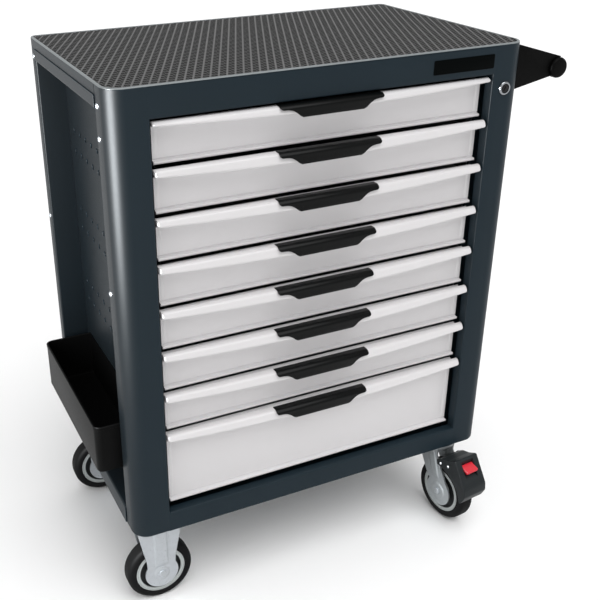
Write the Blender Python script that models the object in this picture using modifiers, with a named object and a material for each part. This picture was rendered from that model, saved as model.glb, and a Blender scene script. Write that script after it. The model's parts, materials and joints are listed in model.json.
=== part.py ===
"""Rolling tool chest: a sheet steel cabinet with eight drawers on four 118 mm casters.

Metres, +Z up, front towards -Y. Everything is modelled in the cabinet's own frame, whose origin is the
centre of the cabinet's underside, and hangs from one empty that stands the chest on the floor.
"""

from math import cos, pi, radians, sin

import bmesh
import bpy
from mathutils import Matrix, Vector

# ---- driving dimensions ----
WIDTH = 0.690  # cabinet over its posts
DEPTH = 0.417
HEIGHT = 0.749  # cabinet without its casters
FLOOR_GAP = 0.166  # floor to the cabinet's underside
CABINET_X = -0.0359  # the cabinet's centre, seen from the middle of the whole chest's footprint
CABINET_Y = 0.0344
SHEET = 0.0016
GAP = 0.0004  # between pieces that touch

FRONT_RADIUS = 0.028  # round front corners
REAR_RADIUS = 0.012
POST_WIDTH = 0.060
POST_DEPTH = 0.050
REAR_POST_DEPTH = 0.0315
RECESS = 0.048  # the side panels lie this far inside the posts
TRAY_HEIGHT = 0.0165
HEADER_HEIGHT = 0.0466
BOTTOM_RAIL_HEIGHT = 0.0375
TOP_SIDE_RAIL = 0.018
BOTTOM_SIDE_RAIL = 0.034

DRAWER_COUNT = 8
FIRST_TOP = 0.698
FIRST_HEIGHT = 0.0648
DRAWER_PITCH = 0.0736
DRAWER_GAP = 0.0036
LAST_BOTTOM = 0.0468
FACE_HALF = 0.2775  # half the width of a drawer front
FACE_Y = -0.187  # front of the drawer faces
NOSE_REACH = 0.0235  # how far the pull rail stands out of the face at its ends
RAIL_BACK = 0.0125  # where the rail's flat top ends towards the face
NOSE_BOW = 0.008  # and how much further in the middle
LIP_DROP = 0.0112  # height of the pull rail's nose at its ends
LIP_BOW = 0.0062
FIRST_SHORTER = 0.0045  # the first drawer's rail is this much lower than the others
BOX_HALF = 0.2645
BOX_BACK = 0.170
SLIDE_WIDTH = 0.0120
SLIDE_HEIGHT = 0.015
GRIP_HALF = 0.0865
GRIP_X = -0.0075  # the grips sit a little left of the middle

WHEEL_RADIUS = 0.059
WHEEL_WIDTH = 0.032
CORE_RADIUS = 0.0445
AXLE_RADIUS = 0.005
AXLE_DROP = FLOOR_GAP - WHEEL_RADIUS  # below the cabinet's underside
CHEEK_GAP = 0.0185  # from the wheel's middle to a cheek's inner face
CHEEK = 0.003
FIXED_X = -0.2965
SWIVEL_X = 0.2864
CASTER_Y = {"front": -0.163, "rear": 0.172}
PLATE_HALF = 0.034  # half the depth of a caster's top plate
TRAIL = 0.037  # swivel axis to wheel axle
SWIVEL_YAW = radians(-83.5)  # where the trailing wheel points at rest, from +X

HALF_WIDTH = WIDTH / 2
HALF_DEPTH = DEPTH / 2
OPENING_HALF = HALF_WIDTH - POST_WIDTH
PANEL_X = HALF_WIDTH - RECESS
POST_TOP = HEIGHT - TRAY_HEIGHT - GAP
POST_BOTTOM = SHEET + GAP
REAR_RETURN_Y = HALF_DEPTH - REAR_POST_DEPTH

BLUE_GREY = ("cabinet_paint", (0.020, 0.030, 0.038), 0.42, 0.0)
LIGHT_GREY = ("drawer_paint", (0.60, 0.60, 0.59), 0.35, 0.0)
ZINC = ("zinc", (0.62, 0.64, 0.68), 0.32, 0.9)
CHROME = ("chrome", (0.80, 0.81, 0.82), 0.12, 1.0)
BLACK_PLASTIC = ("black_plastic", (0.018, 0.020, 0.021), 0.45, 0.0)
MAT_RUBBER = ("mat_rubber", (0.035, 0.035, 0.036), 0.75, 0.0)
TYRE_RUBBER = ("tyre_rubber", (0.030, 0.032, 0.034), 0.70, 0.0)
CORE_GREY = ("core_grey", (0.34, 0.38, 0.37), 0.45, 0.0)
RED_PLASTIC = ("red_plastic", (0.75, 0.04, 0.05), 0.40, 0.0)
STEEL = ("steel", (0.45, 0.46, 0.47), 0.35, 1.0)

for old in list(bpy.data.objects):
    bpy.data.objects.remove(old)

chest = bpy.data.collections.new("rolling_tool_chest")
cutters = bpy.data.collections.new("cutters")
bpy.context.scene.collection.children.link(chest)
bpy.context.scene.collection.children.link(cutters)
cutters.hide_render = True

frame = bpy.data.objects.new("cabinet_frame", None)
frame.location = (CABINET_X, CABINET_Y, FLOOR_GAP)
chest.objects.link(frame)


# ---- tools ----
def material(spec):
    name, color, roughness, metallic = spec
    made = bpy.data.materials.get(name)
    if made is None:
        made = bpy.data.materials.new(name)
        made.use_nodes = True
        shader = made.node_tree.nodes["Principled BSDF"]
        shader.inputs["Base Color"].default_value = (*color, 1.0)
        shader.inputs["Roughness"].default_value = roughness
        shader.inputs["Metallic"].default_value = metallic
        made.diffuse_color = (*color, 1.0)
    return made


def add(name, mesh, spec=None, parent=frame):
    """One object of the chest, or a cutter when it has no material."""
    obj = bpy.data.objects.new(name, mesh)
    obj.parent = parent
    if spec is None:
        obj.hide_render = True
        obj.display_type = "WIRE"
        cutters.objects.link(obj)
    else:
        mesh.materials.append(material(spec))
        chest.objects.link(obj)
    return obj


def mesh_of(name, bm):
    bmesh.ops.recalc_face_normals(bm, faces=bm.faces)
    mesh = bpy.data.meshes.new(name)
    bm.to_mesh(mesh)
    bm.free()
    return mesh


def smooth(obj, angle=35.0):
    obj.data.shade_smooth()
    obj.data.set_sharp_from_angle(angle=radians(angle))
    return obj


def box(name, low, high, spec=None, parent=frame):
    bm = bmesh.new()
    bmesh.ops.create_cube(bm, size=1.0)
    low, high = Vector(low), Vector(high)
    bmesh.ops.scale(bm, vec=high - low, verts=bm.verts)
    bmesh.ops.translate(bm, vec=(low + high) / 2, verts=bm.verts)
    return add(name, mesh_of(name, bm), spec, parent)


def cylinder(name, centre, direction, radius, length, spec=None, sides=24, parent=frame, end_radius=None):
    bm = bmesh.new()
    end_radius = radius if end_radius is None else end_radius
    bmesh.ops.create_cone(
        bm, cap_ends=True, segments=sides, radius1=radius, radius2=end_radius, depth=length
    )
    turn = Vector((0, 0, 1)).rotation_difference(Vector(direction)).to_matrix().to_4x4()
    bmesh.ops.transform(bm, matrix=Matrix.Translation(centre) @ turn, verts=bm.verts)
    return smooth(add(name, mesh_of(name, bm), spec, parent))


PLANES = {  # how a drawing's own x, y and thickness lie in space
    "xy": Matrix.Identity(4),
    "xz": Matrix.Rotation(pi / 2, 4, "X"),
    "yz": Matrix.Rotation(pi / 2, 4, "Z") @ Matrix.Rotation(pi / 2, 4, "X"),
}


def plate(name, outline, thickness, plane, at, spec=None, parent=frame):
    """A flat outline with thickness, centred on the point at."""
    curve = bpy.data.curves.new(name, "CURVE")
    curve.dimensions = "2D"
    curve.fill_mode = "BOTH"
    curve.extrude = thickness / 2
    spline = curve.splines.new("POLY")
    spline.points.add(len(outline) - 1)
    for point, place in zip(spline.points, outline):
        point.co = (place[0], place[1], 0.0, 1.0)
    spline.use_cyclic_u = True
    drawn = bpy.data.objects.new(name + "_outline", curve)
    cutters.objects.link(drawn)
    bpy.context.view_layer.update()
    seen = drawn.evaluated_get(bpy.context.evaluated_depsgraph_get())
    mesh = bpy.data.meshes.new_from_object(seen)
    bpy.data.objects.remove(drawn)
    bm = bmesh.new()
    bm.from_mesh(mesh)
    bmesh.ops.remove_doubles(bm, verts=bm.verts, dist=1e-6)
    bmesh.ops.transform(bm, matrix=Matrix.Translation(at) @ PLANES[plane], verts=bm.verts)
    return add(name, mesh_of(name, bm), spec, parent)


def bent_sheet(name, profile, sweep, low, high, spec=None, thickness=SHEET):
    """Sheet metal bent along a line of (u, v) points, swept along one axis; the sheet grows to its left."""
    bm = bmesh.new()
    places = {"x": lambda u, v, w: (w, u, v), "y": lambda u, v, w: (u, w, v), "z": lambda u, v, w: (u, v, w)}
    verts = [bm.verts.new(places[sweep](u, v, low)) for u, v in profile]
    edges = [bm.edges.new(pair) for pair in zip(verts, verts[1:])]
    grown = bmesh.ops.extrude_edge_only(bm, edges=edges)["geom"]
    moved = [item for item in grown if isinstance(item, bmesh.types.BMVert)]
    step = places[sweep](0.0, 0.0, high - low)
    bmesh.ops.translate(bm, vec=step, verts=moved)
    mesh = bpy.data.meshes.new(name)
    bm.to_mesh(mesh)
    bm.free()
    obj = add(name, mesh, spec)
    solid = obj.modifiers.new("sheet", "SOLIDIFY")
    solid.thickness = thickness
    solid.offset = 1.0
    solid.use_even_offset = True
    return obj


def turned(name, profile, centre, axis_turn, spec, steps=32, parent=frame):
    """A closed ring of revolution about the object's own Z axis; the object's origin is its axle."""
    mesh = bpy.data.meshes.new(name)
    count = len(profile)
    mesh.from_pydata(
        [(r, 0.0, h) for r, h in profile], [(i, (i + 1) % count) for i in range(count)], []
    )
    obj = add(name, mesh, spec, parent)
    obj.matrix_local = Matrix.Translation(centre) @ axis_turn
    screw = obj.modifiers.new("turn", "SCREW")
    screw.steps = steps
    screw.render_steps = steps
    screw.use_merge_vertices = True
    screw.merge_threshold = 1e-5
    screw.use_smooth_shade = True
    return obj


def boolean(obj, tool, operation):
    step = obj.modifiers.new(operation.lower(), "BOOLEAN")
    step.operation = operation
    step.solver = "EXACT"
    step.object = tool


def cut(obj, *tools):
    for tool in tools:
        boolean(obj, tool, "DIFFERENCE")
    return obj


def fuse(obj, *tools):
    for tool in tools:
        boolean(obj, tool, "UNION")
    return obj


def arc(centre, radius, start, stop, count):
    """Points on an arc, with its angles in degrees."""
    turns = [radians(start + (stop - start) * i / count) for i in range(count + 1)]
    return [(centre[0] + radius * cos(t), centre[1] + radius * sin(t)) for t in turns]


def chest_plan(inset=0.0):
    """The cabinet's plan, with its rounder corners at the front."""
    x, y = HALF_WIDTH - inset, HALF_DEPTH - inset
    front, rear = max(FRONT_RADIUS - inset, 0.001), max(REAR_RADIUS - inset, 0.001)
    return (
        arc((-x + front, -y + front), front, 180, 270, 6)
        + arc((x - front, -y + front), front, 270, 360, 6)
        + arc((x - rear, y - rear), rear, 0, 90, 4)
        + arc((-x + rear, y - rear), rear, 90, 180, 4)
    )


def mirrored(points):
    return [(-x, y) for x, y in reversed(points)]


# ---- cabinet ----
def make_base():
    """Floor plate with the cabinet's plan and the rail below the bottom drawer."""
    pan = plate("base_pan", chest_plan(0.0006), SHEET, "xy", (0, 0, SHEET / 2), BLUE_GREY)
    rail_end = OPENING_HALF - GAP
    top = BOTTOM_RAIL_HEIGHT
    front = -HALF_DEPTH
    upright = box("rail_front", (-rail_end, front, 0), (rail_end, front + SHEET, top))
    ledge = box("rail_ledge", (-rail_end, front, top - SHEET), (rail_end, front + 0.016, top))
    lip_half, lip_y, lip_height = 0.280, HALF_DEPTH - 0.012, 0.025
    rear = box("pan_rear_lip", (-lip_half, lip_y, 0), (lip_half, lip_y + SHEET, lip_height))
    fuse(pan, upright, ledge, rear)


def make_posts():
    """Folded front posts: a return beside the drawers, the front, a round corner, the side and its flange."""
    inner = OPENING_HALF
    x, y = HALF_WIDTH, HALF_DEPTH
    outside = (
        [(inner, -y + 0.018), (inner, -y)]
        + arc((x - FRONT_RADIUS, -y + FRONT_RADIUS), FRONT_RADIUS, -90, 0, 7)
        + [(x, -y + POST_DEPTH), (PANEL_X + 0.0002, -y + POST_DEPTH)]
    )
    right = bent_sheet("front_right_post", outside, "z", POST_BOTTOM, POST_TOP, BLUE_GREY)
    hole = cylinder("lock_hole", (LOCK_X, -HALF_DEPTH, LOCK_Z), (0, 1, 0), LOCK_RADIUS + 0.0024, 0.02)
    cut(right, hole)
    bent_sheet("front_left_post", mirrored(outside), "z", POST_BOTTOM, POST_TOP, BLUE_GREY)


def make_header():
    end = OPENING_HALF - GAP
    y = -HALF_DEPTH
    low = HEIGHT - HEADER_HEIGHT
    profile = [(y + 0.016, low), (y, low), (y, POST_TOP), (y + 0.012, POST_TOP)]
    bent_sheet("header_rail", list(reversed(profile)), "x", -end, end, BLUE_GREY)


def make_sides():
    """Side panels folded out to the posts' plane at the top and at the bottom."""
    x = HALF_WIDTH
    top = POST_TOP - TOP_SIDE_RAIL
    profile = [
        (x, POST_BOTTOM),
        (x, BOTTOM_SIDE_RAIL),
        (PANEL_X, BOTTOM_SIDE_RAIL),
        (PANEL_X, top),
        (x, top),
        (x, POST_TOP),
    ]
    low = -HALF_DEPTH + POST_DEPTH + GAP
    high = REAR_RETURN_Y - GAP
    bent_sheet("right_side_panel", list(reversed(profile)), "y", low, high, BLUE_GREY)
    bent_sheet("left_side_panel", [(-u, v) for u, v in profile], "y", low, high, BLUE_GREY)


def make_rear():
    """Back panel folded round both rear corners, with a return that closes each side recess."""
    x, y = HALF_WIDTH, HALF_DEPTH
    half = [(PANEL_X, REAR_RETURN_Y), (x, REAR_RETURN_Y)]
    half += arc((x - REAR_RADIUS, y - REAR_RADIUS), REAR_RADIUS, 0, 90, 4)
    bent_sheet("rear_panel", half + mirrored(half), "z", POST_BOTTOM, POST_TOP, BLUE_GREY)


def make_top():
    """Top tray with a low rim around an anti-slip mat."""
    low = HEIGHT - TRAY_HEIGHT
    tray = plate("top_tray", chest_plan(), TRAY_HEIGHT, "xy", (0, 0, low + TRAY_HEIGHT / 2), BLUE_GREY)
    mat_seat = 0.0026
    deep = TRAY_HEIGHT - mat_seat - SHEET
    under = plate("tray_hollow", chest_plan(0.003), 0.02, "xy", (0, 0, low + deep - 0.01))
    over = plate("tray_seat", chest_plan(0.0035), 0.01, "xy", (0, 0, HEIGHT - mat_seat + 0.005))
    cut(tray, under, over)
    thick = mat_seat - GAP
    middle = HEIGHT - mat_seat + GAP + thick / 2
    plate("top_mat", chest_plan(0.0042), thick, "xy", (0, 0, middle), MAT_RUBBER)


# ---- push handle and side tray ----
HANDLE_X = 0.4375
HANDLE_Z = 0.690
HANDLE_RADIUS = 0.017
BRACKET_THICK = 0.012
BRACKET_FRONT = -0.182
REAR_BRACKET = 0.180
BAR_PROUD = 0.007  # of each bracket


def make_handle():
    """A tapered bracket at each end and a round bar between them, with its ends through the brackets."""
    foot_low, foot_high = 0.669, 0.7385
    foot_x = HALF_WIDTH + GAP
    outline = (
        [(foot_x, foot_low), (foot_x + 0.006, foot_low)]
        + arc((HANDLE_X, HANDLE_Z), 0.0195, -115, 72, 9)
        + [(foot_x + 0.006, foot_high), (foot_x, foot_high)]
    )
    for name, front in (("handle_bracket_front", BRACKET_FRONT), ("handle_bracket_rear", REAR_BRACKET)):
        middle = front + BRACKET_THICK / 2
        made = plate(name, outline, BRACKET_THICK, "xz", (0, middle, 0), BLACK_PLASTIC)
        bore = cylinder(
            name + "_bore", (HANDLE_X, middle, HANDLE_Z), (0, 1, 0), HANDLE_RADIUS + GAP, 0.03
        )
        cut(made, bore)
    low, high = BRACKET_FRONT - BAR_PROUD, REAR_BRACKET + BRACKET_THICK + BAR_PROUD
    cylinder(
        "handle_bar",
        (HANDLE_X, (low + high) / 2, HANDLE_Z),
        (0, 1, 0),
        HANDLE_RADIUS,
        high - low,
        BLACK_PLASTIC,
    )


TRAY_LOW, TRAY_HIGH = 0.112, 0.200
TRAY_FRONT, TRAY_REAR = -0.1545, 0.1600
TRAY_OUT = -0.3850


def make_side_tray():
    """Open plastic tray hung low in the left recess, standing out past the posts."""
    inner = -PANEL_X - GAP - 0.0003
    corner = 0.010

    def plan(inset):
        out, front, rear = TRAY_OUT + inset, TRAY_FRONT + inset, TRAY_REAR - inset
        return [
            (inner - inset, front),
            (inner - inset, rear),
            (out + corner, rear),
            (out, rear - corner),
            (out, front + corner),
            (out + corner, front),
        ]

    height = TRAY_HIGH - TRAY_LOW
    tray = plate("side_tray", plan(0), height, "xy", (0, 0, TRAY_LOW + height / 2), BLACK_PLASTIC)
    hollow = plate("side_tray_hollow", plan(0.0028), height, "xy", (0, 0, TRAY_LOW + height / 2 + 0.0028))
    cut(tray, hollow)


# ---- lock ----
LOCK_X, LOCK_Z = 0.3092, 0.6787
LOCK_RADIUS = 0.0072


def make_lock():
    """A fixed barrel in the right post, the key plug that turns in it, and the bar that the plug lifts."""
    y = -HALF_DEPTH
    barrel = cylinder("lock_barrel", (LOCK_X, y + 0.008, LOCK_Z), (0, 1, 0), LOCK_RADIUS + 0.002, 0.020, CHROME)
    flange = cylinder("lock_flange", (LOCK_X, y - 0.0018, LOCK_Z), (0, 1, 0), LOCK_RADIUS + 0.0036, 0.0028)
    bore = cylinder("lock_bore", (LOCK_X, y + 0.006, LOCK_Z), (0, 1, 0), LOCK_RADIUS, 0.06)
    fuse(barrel, flange)
    cut(barrel, bore)
    plug = cylinder("lock_plug", (0, 0.0095, 0), (0, 1, 0), LOCK_RADIUS - 0.0003, 0.025, CHROME)
    plug.location = (LOCK_X, y, LOCK_Z)
    slot = box("key_slot", (-0.0008, -0.01, -0.0042), (0.0008, 0.004, 0.0042), parent=plug)
    cam = box("lock_cam", (-0.0035, 0.0205, -0.0035), (0.0175, 0.0225, 0.0035), parent=plug)
    cut(plug, slot)
    fuse(plug, cam)
    bar = box("lock_bar", (0.3290, y + 0.019, 0.020), (0.3330, y + 0.034, 0.667), STEEL)
    hook = box("lock_bar_head", (0.3105, y + 0.0235, 0.660), (0.3330, y + 0.034, 0.667))
    fuse(bar, hook)


# ---- drawers ----
def drawer_span(index):
    """The lowest and highest point of a drawer's front."""
    if index == 0:
        return FIRST_TOP - FIRST_HEIGHT, FIRST_TOP
    above = FIRST_TOP - FIRST_HEIGHT - DRAWER_PITCH * (index - 1)
    low = LAST_BOTTOM if index == DRAWER_COUNT - 1 else above - DRAWER_PITCH
    return low, above - DRAWER_GAP


def front_section(height, bulge, shorter):
    """Section of a drawer front as (reach out of the face, height above its bottom edge)."""
    nose = NOSE_REACH + NOSE_BOW * bulge
    lip = height - LIP_DROP - LIP_BOW * bulge + shorter
    return [
        (-SHEET, 0.0),
        (0.0062, 0.0),
        (0.0066, 0.0042),
        (0.0, 0.0056),
        (0.0, lip - 0.0030),
        (nose - 0.0030, lip),
        (nose - 0.0006, lip + 0.0012),
        (nose, lip + 0.0034),
        (nose - 0.0024, height - 0.0022),
        (nose - 0.0060, height),
        (RAIL_BACK, height),
        (RAIL_BACK - 0.0030, height - 0.0032),
        (0.0040, height - 0.0090 + 0.5 * shorter),
        (-SHEET, height - 0.0050),
    ]


def make_front(name, low, high, shorter, parent):
    """The pressed front with its pull rail, lofted across its width because the rail bows in the middle."""
    stations = 10
    bm = bmesh.new()
    rings = []
    for i in range(stations + 1):
        x = -FACE_HALF + 2 * FACE_HALF * i / stations
        bulge = 1 - (x / FACE_HALF) ** 2
        section = front_section(high - low, bulge, shorter)
        rings.append([bm.verts.new((x, FACE_Y - out, low + up)) for out, up in section])
    for ring, following in zip(rings, rings[1:]):
        for i in range(len(ring)):
            j = (i + 1) % len(ring)
            bm.faces.new((ring[i], ring[j], following[j], following[i]))
    bm.faces.new(rings[0])
    bm.faces.new(rings[-1])
    return add(name, mesh_of(name, bm), LIGHT_GREY, parent)


def make_grip(name, high, lift, parent):
    """Plastic grip clipped over the nose of the pull rail, with a deeper finger lip between two shoulders."""
    nose = FACE_Y - NOSE_REACH - NOSE_BOW
    foot = high + lift
    profile = [
        (nose + 0.0100, high + 0.0004),
        (nose + 0.0100, high + 0.0018),
        (nose + 0.0045, high + 0.0018),
        (nose + 0.0002, high - 0.0006),
        (nose - 0.0024, high - 0.0040),
        (nose - 0.0030, foot - 0.0160),
        (nose - 0.0026, foot - 0.0193),
        (nose - 0.0008, foot - 0.0190),
        (nose - 0.0006, foot - 0.0140),
        (nose + 0.0016, high - 0.0024),
        (nose + 0.0056, high + 0.0004),
    ]
    made = plate(name, profile, 2 * GRIP_HALF, "yz", (GRIP_X, 0, 0), BLACK_PLASTIC, parent)
    half = [
        (0.0, foot - 0.0250),
        (0.0500, foot - 0.0250),
        (0.0500, foot - 0.0190),
        (0.0545, foot - 0.0172),
        (0.0580, foot - 0.0140),
        (0.0625, foot - 0.0106),
        (0.0675, foot - 0.0078),
        (0.0740, foot - 0.0064),
        (GRIP_HALF - 0.0035, foot - 0.0060),
        (GRIP_HALF - 0.0007, foot - 0.0040),
        (GRIP_HALF - 0.0005, high + 0.0030),
    ]
    outline = [(GRIP_X + x, z) for x, z in half] + [(GRIP_X - x, z) for x, z in reversed(half[1:])]
    window = plate(name + "_window", outline, 0.10, "xz", (0, nose, 0), parent=parent)
    boolean(made, window, "INTERSECT")


def make_drawer(index):
    name = f"drawer_{index + 1}"
    low, high = drawer_span(index)
    holder = bpy.data.objects.new(name + "_slide", None)
    holder.parent = frame
    chest.objects.link(holder)
    shorter = FIRST_SHORTER if index == 0 else 0.0
    make_front(name + "_front", low, high, shorter, holder)
    make_grip(name + "_grip", high, 0.4 * shorter, holder)
    front = FACE_Y + SHEET + GAP
    floor, rim = low + 0.006, high - 0.012
    tub = box(name + "_box", (-BOX_HALF, front, floor), (BOX_HALF, BOX_BACK, rim), LIGHT_GREY, holder)
    wall = 0.0014
    hollow = box(
        name + "_hollow",
        (-BOX_HALF + wall, front + wall, floor + wall),
        (BOX_HALF - wall, BOX_BACK - wall, rim + 0.05),
        parent=holder,
    )
    cut(tub, hollow)
    middle = slide_height(low)
    for side in (-1, 1):
        ends = sorted((side * (BOX_HALF - 0.0005), side * (BOX_HALF + SLIDE_WIDTH)))
        rail = box(
            f"{name}_rail_{side}",
            (ends[0], front + 0.004, middle - SLIDE_HEIGHT / 2),
            (ends[1], BOX_BACK - 0.004, middle + SLIDE_HEIGHT / 2),
            parent=holder,
        )
        fuse(tub, rail)


def slide_height(low):
    return low + 0.029


def make_rack(name, side):
    """Inner side plate whose pairs of flanges are the channels for the drawers' slides."""
    outer = PANEL_X - SHEET - 0.0012
    inner = outer - 0.0016
    lip = BOX_HALF + 0.0012
    front, rear = -HALF_DEPTH + POST_DEPTH + 0.0025, REAR_RETURN_Y - 0.004
    low, high = 0.040, 0.700
    teeth = []
    for index in reversed(range(DRAWER_COUNT)):
        middle = slide_height(drawer_span(index)[0])
        clear = SLIDE_HEIGHT / 2 + 0.0012
        for start, stop in ((-clear - 0.0016, -clear), (clear, clear + 0.0016)):
            teeth += [(inner, middle + start), (lip, middle + start), (lip, middle + stop), (inner, middle + stop)]
    outline = [(outer, low), (inner, low)] + teeth + [(inner, high), (outer, high)]
    bm = bmesh.new()
    section = bm.faces.new([bm.verts.new((side * x, front, z)) for x, z in outline])
    swept = bmesh.ops.extrude_face_region(bm, geom=[section])["geom"]
    moved = [item for item in swept if isinstance(item, bmesh.types.BMVert)]
    bmesh.ops.translate(bm, vec=(0, rear - front, 0), verts=moved)
    add(name, mesh_of(name, bm), STEEL)


# ---- casters ----
def wheel_section(radius_in, radius_out, half, shoulder):
    """Ring section, run down its outer side."""
    steps = 3
    upper = arc((radius_out - shoulder, half - shoulder), shoulder, 90, 0, steps)
    lower = arc((radius_out - shoulder, -half + shoulder), shoulder, 0, -90, steps)
    return [(radius_in, half)] + upper + lower + [(radius_in, -half)]


def make_wheel(name, centre, axle_turn, parent):
    half = WHEEL_WIDTH / 2
    tyre = wheel_section(CORE_RADIUS + 0.0003, WHEEL_RADIUS, half, 0.009)
    turned(name + "_tyre", tyre, centre, axle_turn, TYRE_RUBBER, 28, parent)
    hub, rim, web = 0.0165, 0.0145, 0.006
    core = [
        (AXLE_RADIUS + 0.0003, hub),
        (0.013, hub),
        (0.015, web),
        (CORE_RADIUS - 0.007, web),
        (CORE_RADIUS - 0.005, rim),
        (CORE_RADIUS, rim),
    ]
    core += [(r, -h) for r, h in reversed(core)]
    turned(name + "_core", core, centre, axle_turn, CORE_GREY, 24, parent)


def cheek_outline(axle_x, top_half, top_z, waist_z):
    """A cheek from the plate down to a round end about the axle."""
    end = 0.034
    waist = 0.0285
    middle = axle_x * waist_z / -AXLE_DROP
    return (
        [(top_half, top_z), (top_half - 0.002, top_z - 0.016), (middle + waist, waist_z)]
        + arc((axle_x, -AXLE_DROP), end, 32, -212, 12)
        + [(middle - waist, waist_z), (-top_half + 0.002, top_z - 0.016), (-top_half, top_z)]
    )


def make_fixed_caster(place):
    name = f"{place}_left_caster"
    y = CASTER_Y[place]
    top = -GAP
    bracket = box(
        name + "_bracket",
        (FIXED_X - 0.042, y - PLATE_HALF, top - 0.003),
        (FIXED_X + 0.048, y + PLATE_HALF, top),
        ZINC,
    )
    for side in (-1, 1):
        middle = y + side * (CHEEK_GAP + CHEEK / 2)
        cheek = plate(
            f"{name}_cheek_{side}", cheek_outline(0.0, 0.040, -0.002, -0.078), CHEEK, "xz", (FIXED_X, middle, 0)
        )
        fuse(bracket, cheek)
    across = 2 * (CHEEK_GAP + CHEEK) + 0.008
    axle = cylinder(name + "_axle", (FIXED_X, y, -AXLE_DROP), (0, 1, 0), AXLE_RADIUS, across, sides=16)
    fuse(bracket, axle)
    upright = Matrix.Rotation(pi / 2, 4, "X")
    spin = bpy.data.objects.new(name + "_spin", None)
    spin.parent = frame
    spin.location = (FIXED_X, y, -AXLE_DROP)
    chest.objects.link(spin)
    make_wheel(name, (0, 0, 0), upright, spin)


def make_brake(name, swivel):
    """Plastic hood over the trailing side of the wheel, with a push button standing out of its slope."""
    tread = WHEEL_RADIUS + 0.004
    hub = (TRAIL, -AXLE_DROP)
    outline = (
        [(TRAIL - 0.006, -0.034), (TRAIL + 0.009, -0.0240), (TRAIL + 0.024, -0.0200), (TRAIL + 0.0405, -0.0112)]
        + [(TRAIL + 0.0430, -0.0120), (TRAIL + 0.073, -0.0590), (TRAIL + 0.075, -0.0740), (TRAIL + 0.066, -0.092)]
        + arc(hub, tread, 12, 94, 7)
    )
    half = 0.027
    hood = plate(name + "_brake_hood", outline, 2 * half, "xz", (0, 0, 0), BLACK_PLASTIC, swivel)
    outer_cheek = CHEEK_GAP + CHEEK + 0.0012
    straddle = [(-0.02, -0.120), (TRAIL + 0.030, -0.120), (TRAIL + 0.030, -0.0300), (-0.02, -0.0300)]
    for side in (-1, 1):
        middle = side * (CHEEK_GAP - 0.0012 + outer_cheek) / 2
        slot = plate(
            f"{name}_hood_slot_{side}",
            straddle,
            outer_cheek - CHEEK_GAP + 0.0012,
            "xz",
            (0, middle, 0),
            parent=swivel,
        )
        cut(hood, slot)
    middle = Vector((TRAIL + 0.0530, 0.0, -0.0286))
    upward = Vector((0.269, 0.0, 0.963)).normalized()
    tilt = Vector((0, 0, 1)).rotation_difference(upward).to_matrix().to_4x4()
    pocket = box(name + "_button_pocket", (-0.0106, -0.0141, -0.0128), (0.0400, 0.0141, 0.0400), parent=swivel)
    pocket.matrix_local = Matrix.Translation(middle) @ tilt
    cut(hood, pocket)
    button = box(name + "_brake_button", (-0.0100, -0.0135, -0.0027), (0.0100, 0.0135, 0.0027), RED_PLASTIC, swivel)
    button.matrix_local = Matrix.Translation(middle) @ tilt
    bevel = button.modifiers.new("edges", "BEVEL")
    bevel.width = 0.0009
    bevel.segments = 2


def make_swivel_caster(place):
    name = f"{place}_right_caster"
    y = CASTER_Y[place]
    top = -GAP
    base = box(
        name + "_plate",
        (SWIVEL_X - 0.048, y - PLATE_HALF, top - 0.003),
        (SWIVEL_X + 0.048, y + PLATE_HALF, top),
        ZINC,
    )
    race = cylinder(name + "_race", (SWIVEL_X, y, top - 0.0065), (0, 0, 1), 0.030, 0.009)
    fuse(base, race)
    swivel = bpy.data.objects.new(name + "_swivel", None)
    swivel.parent = frame
    swivel.location = (SWIVEL_X, y, 0)
    swivel.rotation_euler = (0, 0, SWIVEL_YAW)
    chest.objects.link(swivel)
    head_top = top - 0.0115
    fork = cylinder(
        name + "_fork", (0, 0, head_top - 0.005), (0, 0, 1), 0.034, 0.010, ZINC, 24, swivel, end_radius=0.030
    )
    for side in (-1, 1):
        middle = side * (CHEEK_GAP + CHEEK / 2)
        cheek = plate(
            f"{name}_cheek_{side}",
            cheek_outline(TRAIL, 0.027, head_top - 0.004, -0.080),
            CHEEK,
            "xz",
            (0, middle, 0),
            parent=swivel,
        )
        fuse(fork, cheek)
    across = 2 * (CHEEK_GAP + CHEEK) + 0.008
    axle = cylinder(
        name + "_axle", (TRAIL, 0, -AXLE_DROP), (0, 1, 0), AXLE_RADIUS, across, sides=16, parent=swivel
    )
    fuse(fork, axle)
    make_brake(name, swivel)
    upright = Matrix.Rotation(pi / 2, 4, "X")
    spin = bpy.data.objects.new(name + "_spin", None)
    spin.parent = swivel
    spin.location = (TRAIL, 0, -AXLE_DROP)
    chest.objects.link(spin)
    make_wheel(name, (0, 0, 0), upright, spin)


make_base()
make_posts()
make_header()
make_sides()
make_rear()
make_top()
make_handle()
make_side_tray()
make_lock()
for drawer in range(DRAWER_COUNT):
    make_drawer(drawer)
make_rack("left_slide_rack", -1)
make_rack("right_slide_rack", 1)
for corner in ("front", "rear"):
    make_fixed_caster(corner)
    make_swivel_caster(corner)
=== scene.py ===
"""The looks of the rolling tool chest: every sheet, drawer, grip and caster in its finished shape and paint.

Metres. Pieces are drawn in the cabinet's own frame, whose origin is the centre of the cabinet's underside,
and show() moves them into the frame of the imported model.
"""

import json
from math import cos, hypot, pi, radians, sin

import bmesh
import bpy
from mathutils import Matrix, Vector


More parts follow.
